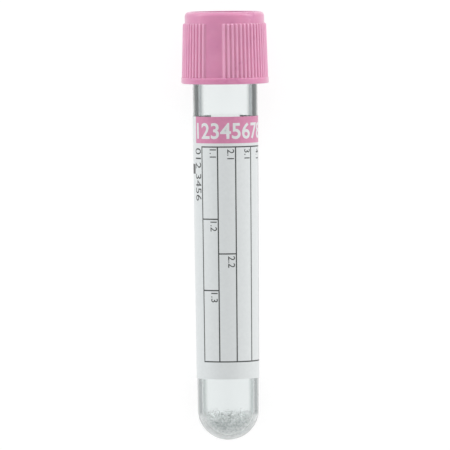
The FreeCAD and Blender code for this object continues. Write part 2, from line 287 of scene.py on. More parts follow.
def object_point(tree, scale=(1, 1, 1)):
    """A surface point in the row frame, in metres and stretched."""
    coordinates = put(tree, "ShaderNodeTexCoord").outputs["Object"]
    return put(tree, "ShaderNodeMapping", Vector=coordinates, Scale=scale).outputs["Vector"]


def point_y(tree, point):
    """How far along the lying tube a point is."""
    return put(tree, "ShaderNodeSeparateXYZ", Vector=point).outputs["Y"]


def noise(tree, point, scale, detail=3.0):
    """A cloudy pattern of values round 0.5."""
    return put(tree, "ShaderNodeTexNoise", Vector=point, Scale=scale, Detail=detail).outputs["Fac"]


def blend_colours(tree, share, first, second):
    """Two colours, each written out or another node's output, mixed by a share."""
    node = put(tree, "ShaderNodeMix", {"data_type": "RGBA"})
    connect(tree, node.inputs["Factor"], share)
    for socket, colour in ((node.inputs[6], first), (node.inputs[7], second)):
        written = isinstance(colour, tuple)
        connect(tree, socket, (*colour, 1) if written else colour)
    return node.outputs[2]


def spread(tree, value, low, high, out_low, out_high):
    """The value's range low to high mapped to another, and kept inside it."""
    node = put(tree, "ShaderNodeMapRange", Value=value)
    for key, amount in zip(("From Min", "From Max", "To Min", "To Max"),
                           (low, high, out_low, out_high)):
        node.inputs[key].default_value = amount
    return node.outputs["Result"]


def ramp(tree, value, stops):
    """Colours by a value, from stops of (value, colour) in rising order."""
    node = put(tree, "ShaderNodeValToRGB", Fac=value)
    elements = node.color_ramp.elements
    for element, (position, colour) in zip((elements[0], elements[-1]), (stops[0], stops[-1])):
        element.position = position
        element.color = (*colour, 1)
    for position, colour in stops[1:-1]:
        elements.new(position).color = (*colour, 1)
    return node.outputs["Color"]


def roughen(tree, shader, height, distance, strength):
    """Bumps in a surface by a pattern of heights."""
    bump = put(tree, "ShaderNodeBump", Height=height, Strength=strength, Distance=distance)
    tree.links.new(bump.outputs["Normal"], shader.inputs["Normal"])


def moulded(name, dark, light, roughness, grain):
    """Moulded plastic or rubber: two near colours in soft clouds, and a fine satin grain."""
    material, shader = new_material(name)
    tree = material.node_tree
    point = object_point(tree)
    clouds = noise(tree, point, CLOUD_SCALE)
    connect(tree, shader.inputs["Base Color"],
            blend_colours(tree, spread(tree, clouds, *MIDDLE, 0, 1), dark, light))
    connect(tree, shader.inputs["Roughness"],
            spread(tree, clouds, *MOST, roughness + SATIN_LOW, roughness + SATIN_HIGH))
    roughen(tree, shader, noise(tree, point, GRAIN_SCALE, 2.0), GRAIN_BUMP, grain)
    return material


def soften(material, weight, depth, colour_depths):
    """Lets light into a moulded material: how much, and how deep for red, green and blue."""
    shader = shader_of(material)
    shader.inputs["Subsurface Weight"].default_value = weight
    shader.inputs["Subsurface Radius"].default_value = colour_depths
    shader.inputs["Subsurface Scale"].default_value = depth


def paint_flute_light(material, colour, amount):
    """Paints light on the fluted wall: its colour turns towards a paler one, for the light scattered
    between the flutes.
    """
    shader = shader_of(material)
    tree = material.node_tree
    fluted = put(tree, "ShaderNodeAttribute", {"attribute_name": "fluted"}).outputs["Fac"]
    body = shader.inputs["Base Color"].links[0].from_socket
    connect(tree, shader.inputs["Base Color"],
            blend_colours(tree, spread(tree, fluted, 0, 1, 0, amount), body, colour))


def row_y(height):
    """Where a height on the tube's axis lies along the row's Y, in metres."""
    return (TUBE_FRAME @ Vector((0, 0, height * MM))).y


def clear_plastic_painted_shade(name, end, barrel_painted_shade, neck):
    """Clear PET with painted shade at its sides: its colour darkens as a face turns away from the
    view, standing in for the grey of the room seen along the wall.

    The rounded end, the barrel and the neck each have a list of stops of (share, colour), where
    the share grows as a face turns away from the view.
    """
    material, shader = new_material(name)
    tree = material.node_tree
    along = point_y(tree, object_point(tree))
    facing = put(tree, "ShaderNodeLayerWeight", Blend=0.5).outputs["Facing"]
    # Painted shade: the barrel's darkening gives way to the neck's darker one above the label, and to
    # the end's weaker one where the spray lies.
    spray = spread(tree, along, row_y(SPRAY_FULL), row_y(SPRAY_RIM), 1, 0)
    upper = spread(tree, along, row_y(LABEL.low), row_y(LABEL.high), 0, 1)
    plain = blend_colours(tree, upper, ramp(tree, facing, barrel_painted_shade), ramp(tree, facing, neck))
    connect(tree, shader.inputs["Base Color"],
            blend_colours(tree, spray, plain, ramp(tree, facing, end)))
    shader.inputs["Transmission Weight"].default_value = 1.0
    shader.inputs["IOR"].default_value = PET_IOR
    flow = noise(tree, object_point(tree, FLOW_STRETCH), FLOW_SCALE)
    connect(tree, shader.inputs["Roughness"], spread(tree, flow, *MIDDLE, 0.0, FLOW_ROUGH))
    roughen(tree, shader, flow, FLOW_BUMP, FLOW_STRENGTH)
    return material


def dust(material):
    """Dries the spray onto a wall: towards the rounded end the wall turns grainy and cloudy."""
    shader = shader_of(material)
    tree = material.node_tree
    point = object_point(tree)
    uneven = noise(tree, point, FILM_EDGE_SCALE)
    ragged = spread(tree, uneven, *MOST, -FILM_RAGGED * MM, FILM_RAGGED * MM)
    height = combine(tree, "ADD", point_y(tree, point), ragged)
    bare = spread(tree, height, row_y(FILM_FULL), row_y(FILM_RIM), 0, 1)
    grain = spread(tree, noise(tree, point, FILM_GRAIN_SCALE, 2.0), *CORE, 0, 1)
    film = blend_colours(tree, grain, FILM_DARK, FILM_LIGHT)
    wall = shader.inputs["Base Color"].links[0].from_socket
    connect(tree, shader.inputs["Base Color"], blend_colours(tree, bare, film, wall))
    connect(tree, shader.inputs["Transmission Weight"], spread(tree, bare, 0, 1, FILM_CLEAR, 1))
    connect(tree, shader.inputs["Roughness"], spread(tree, bare, 0, 1, FILM_ROUGH, BARE_ROUGH))


def paper(name, dark, light, roughness):
    """Coated label film, with a faint mottle of its coating and ink."""
    material, shader = new_material(name)
    tree = material.node_tree
    point = object_point(tree)
    mottle = noise(tree, point, MOTTLE_SCALE)
    connect(tree, shader.inputs["Base Color"],
            blend_colours(tree, spread(tree, mottle, *MOST, 0, 1), dark, light))
    connect(tree, shader.inputs["Roughness"],
            spread(tree, mottle, *MOST, roughness - MOTTLE_ROUGH, roughness + MOTTLE_ROUGH))
    roughen(tree, shader, noise(tree, point, PAPER_SCALE, 2.0), PAPER_BUMP, PAPER_STRENGTH)
    return material


PET_IOR = 1.57
SPRAY_FULL, SPRAY_RIM = 4.2, 5.3  # heights between which the end's stops give way to the barrel's
FILM_FULL, FILM_RIM = 3.6, 6.0  # heights between which the dried spray thins out
FILM_RAGGED = 0.5  # how far the film's edge wanders either way
FILM_EDGE_SCALE = 1100.0
FILM_GRAIN_SCALE = 2600.0
FILM_DARK, FILM_LIGHT = (0.50, 0.55, 0.55), (0.97, 0.99, 0.99)
FILM_CLEAR = 0.80  # share of the light that passes the thickest film
FILM_ROUGH, BARE_ROUGH = 0.3, 0.01

CLEAR = (0.97, 0.99, 0.985)
# Painted shade: stops of (share, colour) that darken the clear plastic's colour as a face turns away
# from the view, for the grey of the room seen along its sides. The shade is darkest at the neck and
# weakest on the sprayed end.
END_OUTSIDE_PAINTED_SHADE = [
    (0.42, CLEAR),
    (0.52, (0.74, 0.77, 0.77)),
    (0.72, (0.74, 0.77, 0.77)),
    (0.88, (0.30, 0.32, 0.32)),
]
BARREL_OUTSIDE_PAINTED_SHADE = [
    (0.06, (0.86, 0.885, 0.89)),
    (0.25, (0.80, 0.83, 0.83)),
    (0.42, (0.70, 0.74, 0.74)),
    (0.50, (0.16, 0.18, 0.18)),
    (0.66, (0.16, 0.18, 0.18)),
    (0.80, (0.55, 0.57, 0.57)),
]
NECK_OUTSIDE_PAINTED_SHADE = [
    (0.06, (0.90, 0.925, 0.93)),
    (0.24, (0.84, 0.865, 0.865)),
    (0.40, (0.76, 0.79, 0.79)),
    (0.46, (0.012, 0.015, 0.015)),
    (0.66, (0.012, 0.015, 0.015)),
    (0.80, (0.30, 0.32, 0.32)),
]
END_INSIDE_PAINTED_SHADE = [(0.0, CLEAR), (1.0, CLEAR)]
BARREL_INSIDE_PAINTED_SHADE = [(0.38, CLEAR), (0.60, (0.34, 0.38, 0.375))]
NECK_INSIDE_PAINTED_SHADE = [(0.36, CLEAR), (0.55, (0.14, 0.16, 0.17))]

PINK_PLASTIC = moulded("cap_pink", (0.665, 0.255, 0.435), (0.72, 0.29, 0.47), 0.30, 0.2)
soften(PINK_PLASTIC, 0.6, 0.0008, (1.0, 1.0, 1.0))
# Painted light: the fluted wall is lightened towards a pale pink, for the light scattered between the
# flutes.
paint_flute_light(PINK_PLASTIC, (0.90, 0.58, 0.72), 0.30)
shader_of(PINK_PLASTIC).inputs["Sheen Weight"].default_value = 0.5
shader_of(PINK_PLASTIC).inputs["Sheen Roughness"].default_value = 0.4
BLACK_PLASTIC = moulded("ring_black", (0.010, 0.010, 0.012), (0.020, 0.020, 0.022), 0.34, 0.3)
GREY_RUBBER = moulded("stopper_rubber", (0.085, 0.080, 0.085), (0.110, 0.105, 0.110), 0.62, 0.6)
CLEAR_OUTSIDE = clear_plastic_painted_shade("clear_outside", END_OUTSIDE_PAINTED_SHADE, BARREL_OUTSIDE_PAINTED_SHADE, NECK_OUTSIDE_PAINTED_SHADE)
CLEAR_INSIDE = clear_plastic_painted_shade("clear_inside", END_INSIDE_PAINTED_SHADE, BARREL_INSIDE_PAINTED_SHADE, NECK_INSIDE_PAINTED_SHADE)
dust(CLEAR_INSIDE)
WHITE_PAPER = paper("label_white", (0.70, 0.73, 0.735), (0.73, 0.76, 0.765), 0.34)
PINK_INK = paper("label_pink", (0.60, 0.215, 0.37), (0.66, 0.25, 0.41), 0.38)
BLACK_INK = paper("label_ink", (0.035, 0.04, 0.04), (0.06, 0.065, 0.065), 0.40)
SPRAY = moulded("additive", (0.66, 0.74, 0.72), (0.84, 0.90, 0.88), 0.25, 0.5)
shader_of(SPRAY).inputs["Transmission Weight"].default_value = 0.6


# ---------------------------------------------------------------- thread
FLANK = (THREAD_ROOT - THREAD_CREST) / 2
FIRST_FLIGHT = 90.0  # where the first flight starts: at +X
FLIGHT_BLUNT = 7.0  # degrees over which a flight rises from its wall at either end
FLIGHT_SECTION = (  # share of the root's width, share of the depth
    (-0.06, 0.0), (0.02, 0.05), (0.20, 0.86), (0.28, 1.0),
    (0.50, 1.0), (0.72, 1.0), (0.80, 0.86), (0.98, 0.05), (1.06, 0.0),
)


def thread_rows(wall, depth, low, angles):
    """Rows across the flights on a wall. They climb with the flights and drop back between them."""
    share_of_turn = 360.0 / THREAD_STARTS
    into = (np.asarray(angles) - FIRST_FLIGHT) % share_of_turn
    gap = share_of_turn - THREAD_ARC
    back = 1 - (into - THREAD_ARC) / gap
    climb = np.where(into <= THREAD_ARC, into / THREAD_ARC, back) * FLIGHT_RISE
    rise = smooth_step(into, 0, FLIGHT_BLUNT) * smooth_step(THREAD_ARC - into, 0, FLIGHT_BLUNT)
    return [(wall + depth * share * rise, low + across * THREAD_ROOT + climb)
            for across, share in FLIGHT_SECTION]


# ---------------------------------------------------------------- tube
TUBE_COLUMNS = 240
END_STEPS = 26
BARREL_STEPS = 24
MOUTH_ROUND = 0.25
BORE_ROUND, BORE_ROUND_STEPS = 0.1, 3
BELOW_FLIGHTS = 0.4  # where the smooth wall ends under the flights


def make_tube():
    """The tube in one skin, with one material on its outside and another on its bore."""
    angles = columns_round(TUBE_COLUMNS)
    outside = arc((0, END_RADIUS), END_RADIUS, -90, 0, END_STEPS)
    outside += [(barrel(height), height)
                for height in np.linspace(END_RADIUS, NECK_LOW, BARREL_STEPS)[1:]]
    outside += [(NECK, FLIGHT_LOW - BELOW_FLIGHTS)]
    outside += thread_rows(NECK, THREAD_DEPTH, FLIGHT_LOW, angles)
    outside += arc((NECK - MOUTH_ROUND, MOUTH - MOUTH_ROUND), MOUTH_ROUND, 0, 90, ROUND_STEPS)
    inside = arc((BORE + BORE_ROUND, MOUTH - BORE_ROUND), BORE_ROUND, 90, 180, BORE_ROUND_STEPS)
    inside += [(BORE, NECK_LOW)]
    inside += [(barrel(height) - WALL, height)
               for height in np.linspace(NECK_LOW, END_RADIUS, BARREL_STEPS)[1:-1]]
    inside += arc((0, END_RADIUS), END_RADIUS - WALL, 0, -90, END_STEPS)
    rows = outside + inside
    points = lathe_points(rows, angles).reshape(-1, 3)
    faces = lathe_faces(len(rows), len(angles), closed=False)
    inner = [face[0] // TUBE_COLUMNS >= len(outside) - 1 for face in faces]
    close_up(piece("tube_barrel", points, faces, "tube_body", "tube",
                   [CLEAR_OUTSIDE, CLEAR_INSIDE], np.array(inner, dtype=int)))


# ---------------------------------------------------------------- stopper
PLUG_DEPTH = 4.9
SEAL = BORE - 0.02  # the sealing rings' radius
SEAL_DEPTH = 0.2
SEAL_HALF = 0.45  # half of a sealing ring's width
SEAL_INSET = 1.1
SEAL_STEPS = 9
SEAL_APART = 0.1  # plain plug between a sealing ring and the nose's rounding
PLUG = SEAL - SEAL_DEPTH
PLUG_WALL = 1.66
HOLLOW = PLUG - PLUG_WALL
HOLLOW_DEPTH = 2.9
WELL = 3.3
WELL_DEPTH = 1.2
HOLLOW_ROUND, HOLLOW_RIM_ROUND = 0.6, 0.15
NOSE_ROUND = 0.5
FLANGE_ROUND, FLANGE_ROOT_ROUND = 0.2, 0.08
FLANGE_NECK = 0.2  # plain plug under the flange
WELL_ROUND, WELL_RIM_ROUND = 0.3, 0.15
STOPPER_COLUMNS = 160


def make_stopper():
    """The rubber stopper: a hollow plug with two sealing rings, a flange and a needle well."""
    low = MOUTH - PLUG_DEPTH
    top = STOPPER.high
    rows = rounded([
        (0, low + HOLLOW_DEPTH, 0),
        (HOLLOW, low + HOLLOW_DEPTH, HOLLOW_ROUND),
        (HOLLOW, low, HOLLOW_RIM_ROUND),
        (PLUG, low, NOSE_ROUND),
        (PLUG, low + SEAL_INSET - SEAL_HALF - SEAL_APART, 0),
    ])[:-1]
    for middle in (low + SEAL_INSET, MOUTH - SEAL_INSET):
        for share in np.linspace(-1, 1, SEAL_STEPS):
            bulge = (SEAL - PLUG) * (1 - share * share)
            rows.append((PLUG + bulge, middle + share * SEAL_HALF))
    rows += rounded([
        (PLUG, MOUTH - FLANGE_NECK, 0),
        (PLUG, MOUTH, FLANGE_ROOT_ROUND),
        (STOPPER.radius, MOUTH, FLANGE_ROUND),
        (STOPPER.radius, top, FLANGE_ROUND),
        (WELL, top, WELL_RIM_ROUND),
        (WELL, top - WELL_DEPTH, WELL_ROUND),
        (0, top - WELL_DEPTH, 0),
    ])
    lathe("stopper_rubber", rows, columns_round(STOPPER_COLUMNS), "stopper_body", "stopper",
          GREY_RUBBER, closed=False)


# ---------------------------------------------------------------- cap
BAND_HEIGHT = 1.2
BAND_ROUND = 0.2
BAND_LAND = 0.35  # from the band's edge in to where its outline ends
FLUTE_STEP = 0.1  # from the band in to the flutes' crests
FLUTE_DEPTH = 0.34
FLUTE_LEAN = 0.29
FLUTE_BEVEL = 0.4
BEVEL_SHARES = (0.3, 0.55, 0.75, 0.9, 1.0)
GROUPS = 2
GROUP_PITCHES = 30
GROUP_FLUTES = 26  # the other pitches of a group are its plain window
PITCHES = GROUPS * GROUP_PITCHES
FLUTE_PHASE = -1.0
COLLAR_HEIGHT = 2.2
COLLAR_STEP = 0.045
COLLAR_ROUND = 0.85
EDGE_ROUND, SHARP_ROUND = 0.05, 0.02
FILLET = ((0.12, 0.0), (0.03, 0.05))  # over the band: from the skirt outwards, and upwards
FILLET_TOP = 0.15
BELOW_FILLET = 0.12
CHAMBER_PLAY = 0.06  # round the stopper's flange
CHAMBER = STOPPER.radius + CHAMBER_PLAY
LEDGE_BORE = NECK + CLEARANCE
LEDGE_THICKNESS = 0.5
LEDGE_LOW = MOUTH - LEDGE_THICKNESS
SNAP_HALF = 0.55
SNAP_DEPTH = 0.28
LEAD_IN = 0.35  # chamfer inside the skirt's lower edge
FLUTE_SECTION = (  # millimetres beside the crest, share of the depth
    (-0.33, 0.0), (-0.26, 0.12), (-0.225, 0.64), (-0.18, 0.79), (-0.10, 0.94), (0.0, 1.0),
    (0.10, 0.94), (0.18, 0.79), (0.225, 0.64), (0.26, 0.12), (0.33, 0.0),
)
SKIRT_ROWS = 16


def cap_columns():
    """Angles of the cap's columns, and the share of a flute's depth that stands at each."""
    angles, shares = [], []
    for pitch in range(PITCHES):
        fluted = pitch % GROUP_PITCHES < GROUP_FLUTES
        for beside, share in FLUTE_SECTION:
            turn = math.degrees(beside / (CAP.radius - FLUTE_STEP - FLUTE_DEPTH))
            angles.append(FLUTE_PHASE + pitch * 360.0 / PITCHES + turn)
            shares.append(share * fluted)
    return np.array(angles), np.array(shares)


def mark_flutes(cap, low, high):
    """Gives the cap an attribute that is 1 on the fluted wall and 0 elsewhere, which masks the painted
    light on the flutes.
    """
    to_tube = TUBE_FRAME.inverted()
    wall = cap.data.attributes.new("fluted", "FLOAT", "POINT")
    for vertex, share in zip(cap.data.vertices, wall.data):
        point = to_tube @ vertex.co / MM
        turn = math.degrees(math.atan2(point.x, -point.y)) - FLUTE_PHASE
        pitch = round(turn * PITCHES / 360) % GROUP_PITCHES
        share.value = low < point.z < high and pitch < GROUP_FLUTES


def make_cap():
    """The cap's shell: band, leaning flutes, collar, ring's seat, stopper's ledge and thread."""
    angles, shares = cap_columns()
    band = CAP.radius
    low, top = CAP.low, CAP.high
    band_top = low + BAND_HEIGHT
    flute_top = top - COLLAR_HEIGHT
    skirt_low = band - FLUTE_STEP - FLUTE_DEPTH
    skirt_high = skirt_low - FLUTE_LEAN
    collar = skirt_high - COLLAR_STEP
    snap = (RING.low + RING.high) / 2
    under_flight = THREAD_ROOT + CLEARANCE - FLANK * (CLEARANCE / THREAD_DEPTH + 1)

    def fluted(height, end):
        """The fluted skirt at a height, with its flutes' depth scaled by end."""
        share = (height - band_top) / (flute_top - band_top)
        skirt = skirt_low - FLUTE_LEAN * share
        return skirt + FLUTE_DEPTH * shares * end

    foot = fluted(band_top, 1)
    rows = []
    for radius, height in rounded([
        (THREAD_WALL + LEAD_IN, low, EDGE_ROUND),
        (band, low, BAND_ROUND),
        (band, band_top, BAND_ROUND),
        (band - BAND_LAND, band_top, 0),
    ])[:-1]:
        meets_flutes = height > band_top - BELOW_FILLET
        rows.append((np.maximum(radius, foot) if meets_flutes else radius, height))
    for outwards, upwards in FILLET:
        rows.append((np.maximum(foot, skirt_low + outwards), band_top + upwards))
    for height in np.linspace(band_top + FILLET_TOP, flute_top - FLUTE_BEVEL, SKIRT_ROWS):
        rows.append((fluted(height, 1), height))
    for share in BEVEL_SHARES:
        height = flute_top - FLUTE_BEVEL * (1 - share)
        rows.append((fluted(height, math.sqrt(1 - share * share)), height))
    rows += rounded([
        (skirt_high, flute_top, 0),
        (collar, flute_top, SHARP_ROUND),
        (collar, top, COLLAR_ROUND),
        (CHAMBER, top, SHARP_ROUND),
        (CHAMBER, snap + SNAP_HALF, 0),
        (CHAMBER + SNAP_DEPTH, snap, 0),
        (CHAMBER, snap - SNAP_HALF, 0),
        (CHAMBER, MOUTH, EDGE_ROUND),
        (LEDGE_BORE, MOUTH, EDGE_ROUND),
        (LEDGE_BORE, LEDGE_LOW, EDGE_ROUND),
        (THREAD_WALL, LEDGE_LOW - (THREAD_WALL - LEDGE_BORE), 0),
    ])[1:]
    rows += thread_rows(THREAD_WALL, -THREAD_DEPTH, FLIGHT_LOW - under_flight, angles)[::-1]
    rows.append((THREAD_WALL, low + LEAD_IN))
    cap = lathe("cap_fluted_shell", rows, angles, "cap_body", "cap_shell",
                PINK_PLASTIC, closed=True)
    mark_flutes(cap, band_top, flute_top)


# ---------------------------------------------------------------- retaining ring
RING_WIDTH = 2.16
RING_LAND = 0.6
FUNNEL = 1.0
CORE_WIDTH = 0.7
CORE_ROOF = 2.29  # from the groove's roof to the ring's face
CORE_ROUND = 0.2
BEAD_HALF, BEAD_ROUND = 0.5, 0.05
FOOT_ROUND = 0.08
FACE_ROUND, LAND_ROUND = 0.12, 0.1
RING_PLAY = 0.02
RING_COLUMNS = 180


def make_ring():
    """The retaining ring: a funnel, a snap bead and a coring groove underneath."""
    outside = CHAMBER - RING_PLAY
    well = outside - RING_WIDTH
    core = (outside + well) / 2
    core_in, core_out = core - CORE_WIDTH / 2, core + CORE_WIDTH / 2
    snap = (RING.low + RING.high) / 2
    rows = rounded([
        (well, RING.low, FOOT_ROUND),
        (core_in, RING.low, EDGE_ROUND),
        (core_in, RING.high - CORE_ROOF, CORE_ROUND),
        (core_out, RING.high - CORE_ROOF, CORE_ROUND),
        (core_out, RING.low, EDGE_ROUND),
        (outside, RING.low, FOOT_ROUND),
        (outside, snap - BEAD_HALF, 0),
        (RING.radius, snap, BEAD_ROUND),
        (outside, snap + BEAD_HALF, 0),
        (outside, RING.high, FACE_ROUND),
        (outside - RING_LAND, RING.high, LAND_ROUND),
        (well, RING.high - FUNNEL, FACE_ROUND),
    ])
    lathe("cap_ring_moulded", rows, columns_round(RING_COLUMNS), "cap_body", "cap_ring",
          BLACK_PLASTIC, closed=True)


# ---------------------------------------------------------------- label
LABEL_GAP = 0.01
LABEL_THICKNESS = 0.09
LABEL_HALF_WRAP = 149.0
LINE = 0.25  # width of a printed line
BAND_DEPTH = 5.13  # the pink band, from the label's upper edge
BAND_START = -64.3
GRID_TOP = 5.83
GRID_FOOT = 3.4  # from the label's lower edge
GRID_START = -46.8
COLUMN_TURN = 32.1
GRID_COLUMNS = 6
DIVIDERS = {0: (19.8, 33.6), 1: (26.5,)}  # by grid column, from the label's upper edge
SHEET_TURN, SHEET_RISE = 2.0, 3.0  # longest steps round and along the sheet
BAR = (-90.0, -69.0, 9.2, 11.1)  # filled bar: angles, and depths under the upper edge
WHITE, PINK, BLACK = 0, 1, 2


def printed_areas():
    """The label's printed areas as (first angle, last angle, low, high, ink)."""
    high, low = LABEL.high, LABEL.low
    half_line = LINE / 2
    half_turn = math.degrees(half_line / barrel((high + low) / 2))
    grid_end = GRID_START + COLUMN_TURN * GRID_COLUMNS
    areas = [(BAND_START, LABEL_HALF_WRAP, high - BAND_DEPTH, high, PINK)]
    top, foot = high - GRID_TOP, low + GRID_FOOT
    for height in (top, foot):
        areas.append((GRID_START - half_turn, grid_end + half_turn,
                      height - half_line, height + half_line, BLACK))
    for column in range(GRID_COLUMNS + 1):
        turn = GRID_START + COLUMN_TURN * column
        areas.append((turn - half_turn, turn + half_turn, foot, top, BLACK))
    for column, depths in DIVIDERS.items():
        turn = GRID_START + COLUMN_TURN * column
        for depth in depths:
            areas.append((turn, turn + COLUMN_TURN, high - depth - half_line,
                          high - depth + half_line, BLACK))
    first, last, upper, lower = BAR
    areas.append((first, last, high - lower, high - upper, BLACK))
    return areas


def steps_between(marks, longest):
    """The marks in order, with more values between them so that no step is longer than longest."""
    marks = sorted({round(mark, 6) for mark in marks})
    values = []
    for low, high in zip(marks, marks[1:]):
        count = max(1, math.ceil((high - low) / longest))
        values += list(np.linspace(low, high, count, endpoint=False))
    return np.array(values + [marks[-1]])


def ink_at(turn, level, areas):
    """The ink at a place on the label: the last area there is printed over the others."""
    ink = WHITE
    for first, last, low, high, colour in areas:
        if first < turn < last and low < level < high:
            ink = colour
    return ink


def sheet_edge(rows, columns):
    """The corners round the edge of a grid of rows and columns, in order."""
    edge = list(range(columns))
    edge += [row * columns + columns - 1 for row in range(1, rows)]
    edge += [(rows - 1) * columns + column for column in range(columns - 2, -1, -1)]
    edge += [row * columns for row in range(rows - 2, 0, -1)]
    return edge


def make_label():
    """The wrapped label: a thin closed sheet whose outer faces are cut along the print."""
    areas = printed_areas()
    turns = [-LABEL_HALF_WRAP, LABEL_HALF_WRAP]
    heights = [LABEL.low, LABEL.high]
    for first, last, low, high, _ in areas:
        turns += [first, last]
        heights += [low, high]
    angles = steps_between(turns, SHEET_TURN)
    levels = steps_between(heights, SHEET_RISE)
    columns, rows = len(angles), len(levels)
    radii = np.array([barrel(level) for level in levels])[:, None] + np.zeros(columns)
    tall = levels[:, None] + np.zeros(columns)
    outer = on_axis(radii + LABEL_GAP + LABEL_THICKNESS, tall, angles)
    inner = on_axis(radii + LABEL_GAP, tall, angles)
    points = np.concatenate([outer.reshape(-1, 3), inner.reshape(-1, 3)])
    count = rows * columns
    faces, inks = [], []
    for row in range(rows - 1):
        for column in range(columns - 1):
            here = row * columns + column
            quad = (here, here + 1, here + columns + 1, here + columns)
            turn = (angles[column] + angles[column + 1]) / 2
            level = (levels[row] + levels[row + 1]) / 2
            faces.append(quad)
            inks.append(ink_at(turn, level, areas))
            faces.append(tuple(corner + count for corner in reversed(quad)))
            inks.append(WHITE)
    edge = sheet_edge(rows, columns)
    for here, there in zip(edge, edge[1:] + edge[:1]):
        faces.append((here, here + count, there + count, there))
        inks.append(WHITE)
    close_up(piece("label_sheet", points, faces, "tube_body", "label",
                   [WHITE_PAPER, PINK_INK, BLACK_INK], np.array(inks)))


# ---------------------------------------------------------------- printed numbers
PRINT_LIFT = 0.006  # the ink's height over the label
CUT_PITCH = 0.3  # the numbers are cut at this pitch, so that they bend round the tube
CAP_SHARE = 0.729  # height of a digit as a share of the font's size
CAPTION_COLUMNS = 5
CAPTION_HEIGHT, MARGIN_HEIGHT, BAND_DIGIT_HEIGHT = 1.4, 2.0, 3.1
CAPTION_ASIDE = 2.0  # degrees between a caption and the grid line beside it
CAPTION_BELOW = 0.45  # between a caption and the line that it hangs from
MARGIN_CORNER = (-48.6, 6.1)  # angle, and depth under the label's upper edge
BAND_CORNER = (-60.0, 1.1)


def flat_text(name, text, size, boldness, across):
    """A flat mesh of text, cut into strips square to a direction, and the x where it starts."""
    curve = bpy.data.curves.new(name, "FONT")
    curve.body = text
    curve.size = size
    curve.offset = boldness
    curve.resolution_u = 4
    source = bpy.data.objects.new(name, curve)
    bpy.context.scene.collection.objects.link(source)
    bpy.context.view_layer.update()
    graph = bpy.context.evaluated_depsgraph_get()
    flat = bpy.data.meshes.new_from_object(source.evaluated_get(graph))
    bpy.data.objects.remove(source)
    shape = bmesh.new()
    shape.from_mesh(flat)
    start = min(vertex.co.x for vertex in shape.verts)
    end = max(vertex.co.x for vertex in shape.verts)
    for cut in np.arange(-size, max(end - start, size) + size, CUT_PITCH):
        bmesh.ops.bisect_plane(shape, geom=shape.verts[:] + shape.edges[:] + shape.faces[:],
                               plane_co=across * cut, plane_no=across)
    shape.to_mesh(flat)
    shape.free()
    return flat, start


def numbers(name, text, digit_height, anchor, upright, boldness, material):
    """Printed numbers on the label. anchor is the angle and the height of the text's top left
    corner as it is read, and upright text reads round the tube, other text down it."""
    across = Vector((1, 0, 0)) if upright else Vector((0, 1, 0))
    flat, start = flat_text(name, text, digit_height / CAP_SHARE, boldness, across)
    angle, height = anchor
    points = []
    for vertex in flat.vertices:
        x, y = vertex.co.x - start, vertex.co.y
        if upright:
            along, level = x, height - digit_height + y
        else:
            along, level = y - digit_height, height - x
        radius = barrel(level) + LABEL_GAP + LABEL_THICKNESS + PRINT_LIFT
        points.append(on_axis(radius, level, angle + math.degrees(along / radius)))
    faces = [tuple(face.vertices) for face in flat.polygons]
    bpy.data.meshes.remove(flat)
    obj = piece(name, points, faces, "tube_body", None, [material])
    obj.data.polygons.foreach_set("use_smooth", [True] * len(obj.data.polygons))


def make_numbers():
    """Captions of grid cells by column and row, digits down the margin and on the pink band."""
    top = LABEL.high
    for column in range(CAPTION_COLUMNS):
        turn = GRID_START + COLUMN_TURN * (column + 1) - CAPTION_ASIDE
        for row, depth in enumerate((GRID_TOP, *DIVIDERS.get(column, ())), start=1):
            numbers(f"label_number_{column + 1}_{row}", f"{column + 1}.{row}", CAPTION_HEIGHT,
                    (turn, top - depth - CAPTION_BELOW), upright=False, boldness=0.01,
                    material=BLACK_INK)
    turn, depth = MARGIN_CORNER
    numbers("label_number_margin", "012 3456", MARGIN_HEIGHT, (turn, top - depth),
            upright=False, boldness=0.0, material=BLACK_INK)
    turn, depth = BAND_CORNER
    numbers("label_number_band", "1234567890", BAND_DIGIT_HEIGHT, (turn, top - depth),
            upright=True, boldness=0.08, material=WHITE_PAPER)


# ---------------------------------------------------------------- dried additive
DROPLETS = 1500
DROPLETS_ABOVE, DROPLETS_BELOW = 0.1, 0.2  # how far inside the coating's ends they sit
DENSE_TO = 5.3  # height up to which the spray lies thick
DENSE_SHARE = 0.9
FINE, COARSE = (0.03, 0.12), (0.11, 0.17)  # droplets' radii
COARSE_SHARE = 0.04
DROPLET_SIDES, DROPLET_RINGS = 7, 2
DROPLET_LIFT = 0.5  # height of a droplet as a share of its radius
DROPLET_GAP = 0.012  # between a droplet and the bore's wall
RANDOM_SEED = 7


def droplet(seat, inward, size):
    """The points of a low dome on the wall, ring by ring, and its top."""
    side = inward.orthogonal().normalized()
    other = inward.cross(side)
    points = []
    for ring in range(DROPLET_RINGS):
        lift = math.radians(90.0 * ring / DROPLET_RINGS)
        for step in range(DROPLET_SIDES):
            around = 2 * math.pi * step / DROPLET_SIDES
            flat = side * math.cos(around) + other * math.sin(around)
            spoke = flat * math.cos(lift) + inward * DROPLET_LIFT * math.sin(lift)
            points.append(seat + spoke * size)
    return points + [seat + inward * size * DROPLET_LIFT]


def droplet_faces(first):
    """The faces of a droplet whose points start at an index: its foot, its rings and its top."""
    faces = [tuple(first + step for step in reversed(range(DROPLET_SIDES)))]
    top = first + DROPLET_RINGS * DROPLET_SIDES
    for step in range(DROPLET_SIDES):
        beside = (step + 1) % DROPLET_SIDES
        for low in range(first, top - DROPLET_SIDES, DROPLET_SIDES):
            high = low + DROPLET_SIDES
            faces.append((low + step, low + beside, high + beside, high + step))
        faces.append((top - DROPLET_SIDES + step, top - DROPLET_SIDES + beside, top))
    return faces


